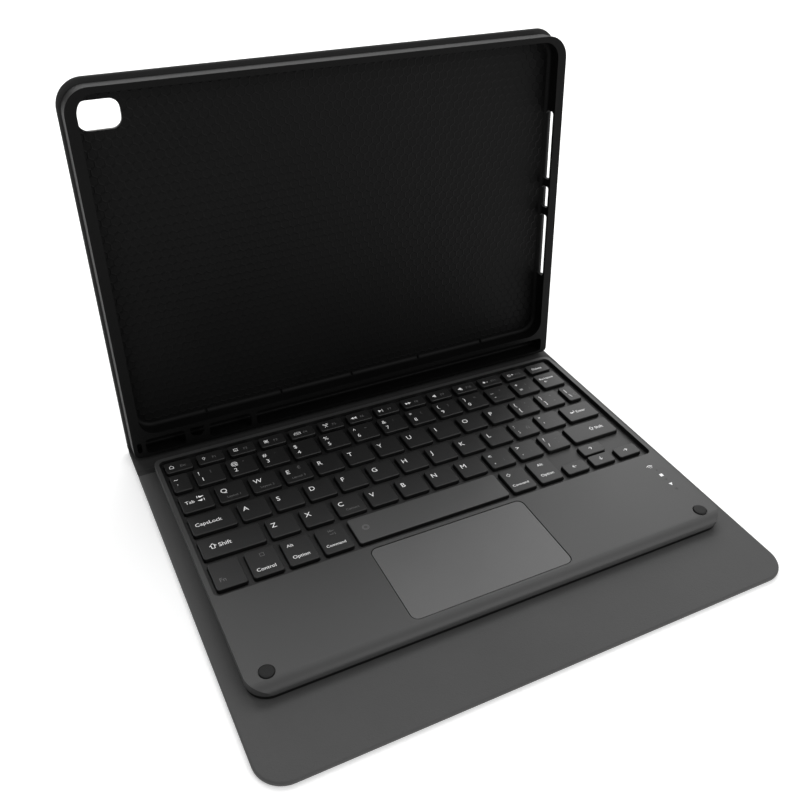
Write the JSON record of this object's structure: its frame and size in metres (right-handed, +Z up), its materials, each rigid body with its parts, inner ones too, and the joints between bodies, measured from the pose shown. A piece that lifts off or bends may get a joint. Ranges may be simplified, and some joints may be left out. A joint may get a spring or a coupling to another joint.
{
  "type": "tablet keyboard case",
  "caption": "Folding cover with a rubber tablet tray, a pen channel and a detachable flat keyboard with touchpad.",
  "frame": {"origin": "under the middle of the base panel, midway between its front edge and the front fold line", "axes": "+X to the user's right, +Y away from the user towards the folds, +Z up"},
  "size_m": [0.262, 0.2395, 0.193],
  "materials": {
    "cover_leather": "grained matte",
    "lining": "matte",
    "stiffener": "matte",
    "tray_rubber": "satin",
    "adhesive": "matte",
    "steel": "satin",
    "shell_plastic": "fine matte",
    "circuit": "satin",
    "bumper_rubber": "matte",
    "light_film": "frosted",
    "cell_foil": "satin",
    "key_plastic": "fine matte"
  },
  "bodies": {
    "base": {"base_skin": "cover_leather", "base_board": "stiffener", "base_lining": "lining", "steel_keeper_strip": "steel"},
    "spine": {"spine_skin": "cover_leather", "spine_board": "stiffener", "spine_lining": "lining"},
    "back_cover": {"back_skin": "cover_leather", "lower_flap_board": "stiffener", "back_board": "stiffener", "back_lining": "lining", "bonding_sheet": "adhesive", "tray_shell": "tray_rubber"},
    "keyboard": {"bottom_shell": "shell_plastic", "keyboard_deck": "shell_plastic", "key_membrane": "light_film", "circuit_board": "circuit", "battery": "cell_foil", "charging_socket": "steel", "status_light_guide": "light_film", "bumper_left": "bumper_rubber", "bumper_right": "bumper_rubber", "magnet_strip": "steel", "touchpad_board": "circuit"},
    "touchpad": {"touchpad": "shell_plastic"},
    "power_switch": {"power_switch": "bumper_rubber"},
    "bracket_and_enter_keys": {"bracket_and_enter_keys": "key_plastic"},
    "function_row_keys": {"function_row_keys": "key_plastic"},
    "key_a": {"key_a": "key_plastic"},
    "key_b": {"key_b": "key_plastic"},
    "key_c": {"key_c": "key_plastic"},
    "key_d": {"key_d": "key_plastic"},
    "key_e": {"key_e": "key_plastic"},
    "key_f": {"key_f": "key_plastic"},
    "key_g": {"key_g": "key_plastic"},
    "key_h": {"key_h": "key_plastic"},
    "key_i": {"key_i": "key_plastic"},
    "key_j": {"key_j": "key_plastic"},
    "key_k": {"key_k": "key_plastic"},
    "key_l": {"key_l": "key_plastic"},
    "key_m": {"key_m": "key_plastic"},
    "key_n": {"key_n": "key_plastic"},
    "key_o": {"key_o": "key_plastic"},
    "key_p": {"key_p": "key_plastic"},
    "key_q": {"key_q": "key_plastic"},
    "key_r": {"key_r": "key_plastic"},
    "key_s": {"key_s": "key_plastic"},
    "key_space": {"key_space": "key_plastic"},
    "key_t": {"key_t": "key_plastic"},
    "key_u": {"key_u": "key_plastic"},
    "key_v": {"key_v": "key_plastic"},
    "key_w": {"key_w": "key_plastic"},
    "key_x": {"key_x": "key_plastic"},
    "key_y": {"key_y": "key_plastic"},
    "key_z": {"key_z": "key_plastic"},
    "left_modifier_keys": {"left_modifier_keys": "key_plastic"},
    "number_row_keys": {"number_row_keys": "key_plastic"},
    "punctuation_and_shift_keys": {"punctuation_and_shift_keys": "key_plastic"},
    "right_modifier_and_arrow_keys": {"right_modifier_and_arrow_keys": "key_plastic"},
    "tab_caps_shift_keys": {"tab_caps_shift_keys": "key_plastic"}
  },
  "joints": [
    {"name": "front_fold", "type": "hinge", "parent": "base", "child": "spine", "pos_m": [0, 0.098, 0.00125], "axis": [1, 0, 0], "range_deg": [0, 90]},
    {"name": "rear_fold", "type": "hinge", "parent": "spine", "child": "back_cover", "pos_m": [0, 0.1208, 0.00125], "axis": [1, 0, 0], "range_deg": [-84.2, 5.8]},
    {"name": "keyboard_slide", "type": "slide", "parent": "base", "child": "keyboard", "axis": [0, -1, 0], "range_m": [0, 0.16]},
    {"name": "touchpad_click", "type": "slide", "parent": "keyboard", "child": "touchpad", "axis": [0, 0, -1], "range_m": [0, 0.0004], "stiffness_N_per_m": 3500},
    {"name": "power_switch_slide", "type": "slide", "parent": "keyboard", "child": "power_switch", "axis": [0, 1, 0], "range_m": [0, 0.003]},
    {"name": "bracket_and_enter_keys_press", "type": "slide", "parent": "keyboard", "child": "bracket_and_enter_keys", "axis": [0, 0, -1], "range_m": [0, 0.0012], "stiffness_N_per_m": 500},
    {"name": "function_row_keys_press", "type": "slide", "parent": "keyboard", "child": "function_row_keys", "axis": [0, 0, -1], "range_m": [0, 0.0012], "stiffness_N_per_m": 500},
    {"name": "key_a_press", "type": "slide", "parent": "keyboard", "child": "key_a", "axis": [0, 0, -1], "range_m": [0, 0.0012], "stiffness_N_per_m": 500},
    {"name": "key_b_press", "type": "slide", "parent": "keyboard", "child": "key_b", "axis": [0, 0, -1], "range_m": [0, 0.0012], "stiffness_N_per_m": 500},
    {"name": "key_c_press", "type": "slide", "parent": "keyboard", "child": "key_c", "axis": [0, 0, -1], "range_m": [0, 0.0012], "stiffness_N_per_m": 500},
    {"name": "key_d_press", "type": "slide", "parent": "keyboard", "child": "key_d", "axis": [0, 0, -1], "range_m": [0, 0.0012], "stiffness_N_per_m": 500},
    {"name": "key_e_press", "type": "slide", "parent": "keyboard", "child": "key_e", "axis": [0, 0, -1], "range_m": [0, 0.0012], "stiffness_N_per_m": 500},
    {"name": "key_f_press", "type": "slide", "parent": "keyboard", "child": "key_f", "axis": [0, 0, -1], "range_m": [0, 0.0012], "stiffness_N_per_m": 500},
    {"name": "key_g_press", "type": "slide", "parent": "keyboard", "child": "key_g", "axis": [0, 0, -1], "range_m": [0, 0.0012], "stiffness_N_per_m": 500},
    {"name": "key_h_press", "type": "slide", "parent": "keyboard", "child": "key_h", "axis": [0, 0, -1], "range_m": [0, 0.0012], "stiffness_N_per_m": 500},
    {"name": "key_i_press", "type": "slide", "parent": "keyboard", "child": "key_i", "axis": [0, 0, -1], "range_m": [0, 0.0012], "stiffness_N_per_m": 500},
    {"name": "key_j_press", "type": "slide", "parent": "keyboard", "child": "key_j", "axis": [0, 0, -1], "range_m": [0, 0.0012], "stiffness_N_per_m": 500},
    {"name": "key_k_press", "type": "slide", "parent": "keyboard", "child": "key_k", "axis": [0, 0, -1], "range_m": [0, 0.0012], "stiffness_N_per_m": 500},
    {"name": "key_l_press", "type": "slide", "parent": "keyboard", "child": "key_l", "axis": [0, 0, -1], "range_m": [0, 0.0012], "stiffness_N_per_m": 500},
    {"name": "key_m_press", "type": "slide", "parent": "keyboard", "child": "key_m", "axis": [0, 0, -1], "range_m": [0, 0.0012], "stiffness_N_per_m": 500},
    {"name": "key_n_press", "type": "slide", "parent": "keyboard", "child": "key_n", "axis": [0, 0, -1], "range_m": [0, 0.0012], "stiffness_N_per_m": 500},
    {"name": "key_o_press", "type": "slide", "parent": "keyboard", "child": "key_o", "axis": [0, 0, -1], "range_m": [0, 0.0012], "stiffness_N_per_m": 500},
    {"name": "key_p_press", "type": "slide", "parent": "keyboard", "child": "key_p", "axis": [0, 0, -1], "range_m": [0, 0.0012], "stiffness_N_per_m": 500},
    {"name": "key_q_press", "type": "slide", "parent": "keyboard", "child": "key_q", "axis": [0, 0, -1], "range_m": [0, 0.0012], "stiffness_N_per_m": 500},
    {"name": "key_r_press", "type": "slide", "parent": "keyboard", "child": "key_r", "axis": [0, 0, -1], "range_m": [0, 0.0012], "stiffness_N_per_m": 500},
    {"name": "key_s_press", "type": "slide", "parent": "keyboard", "child": "key_s", "axis": [0, 0, -1], "range_m": [0, 0.0012], "stiffness_N_per_m": 500},
    {"name": "key_space_press", "type": "slide", "parent": "keyboard", "child": "key_space", "axis": [0, 0, -1], "range_m": [0, 0.0012], "stiffness_N_per_m": 500},
    {"name": "key_t_press", "type": "slide", "parent": "keyboard", "child": "key_t", "axis": [0, 0, -1], "range_m": [0, 0.0012], "stiffness_N_per_m": 500},
    {"name": "key_u_press", "type": "slide", "parent": "keyboard", "child": "key_u", "axis": [0, 0, -1], "range_m": [0, 0.0012], "stiffness_N_per_m": 500},
    {"name": "key_v_press", "type": "slide", "parent": "keyboard", "child": "key_v", "axis": [0, 0, -1], "range_m": [0, 0.0012], "stiffness_N_per_m": 500},
    {"name": "key_w_press", "type": "slide", "parent": "keyboard", "child": "key_w", "axis": [0, 0, -1], "range_m": [0, 0.0012], "stiffness_N_per_m": 500},
    {"name": "key_x_press", "type": "slide", "parent": "keyboard", "child": "key_x", "axis": [0, 0, -1], "range_m": [0, 0.0012], "stiffness_N_per_m": 500},
    {"name": "key_y_press", "type": "slide", "parent": "keyboard", "child": "key_y", "axis": [0, 0, -1], "range_m": [0, 0.0012], "stiffness_N_per_m": 500},
    {"name": "key_z_press", "type": "slide", "parent": "keyboard", "child": "key_z", "axis": [0, 0, -1], "range_m": [0, 0.0012], "stiffness_N_per_m": 500},
    {"name": "left_modifier_keys_press", "type": "slide", "parent": "keyboard", "child": "left_modifier_keys", "axis": [0, 0, -1], "range_m": [0, 0.0012], "stiffness_N_per_m": 500},
    {"name": "number_row_keys_press", "type": "slide", "parent": "keyboard", "child": "number_row_keys", "axis": [0, 0, -1], "range_m": [0, 0.0012], "stiffness_N_per_m": 500},
    {"name": "punctuation_and_shift_keys_press", "type": "slide", "parent": "keyboard", "child": "punctuation_and_shift_keys", "axis": [0, 0, -1], "range_m": [0, 0.0012], "stiffness_N_per_m": 500},
    {"name": "right_modifier_and_arrow_keys_press", "type": "slide", "parent": "keyboard", "child": "right_modifier_and_arrow_keys", "axis": [0, 0, -1], "range_m": [0, 0.0012], "stiffness_N_per_m": 500},
    {"name": "tab_caps_shift_keys_press", "type": "slide", "parent": "keyboard", "child": "tab_caps_shift_keys", "axis": [0, 0, -1], "range_m": [0, 0.0012], "stiffness_N_per_m": 500}
  ]
}
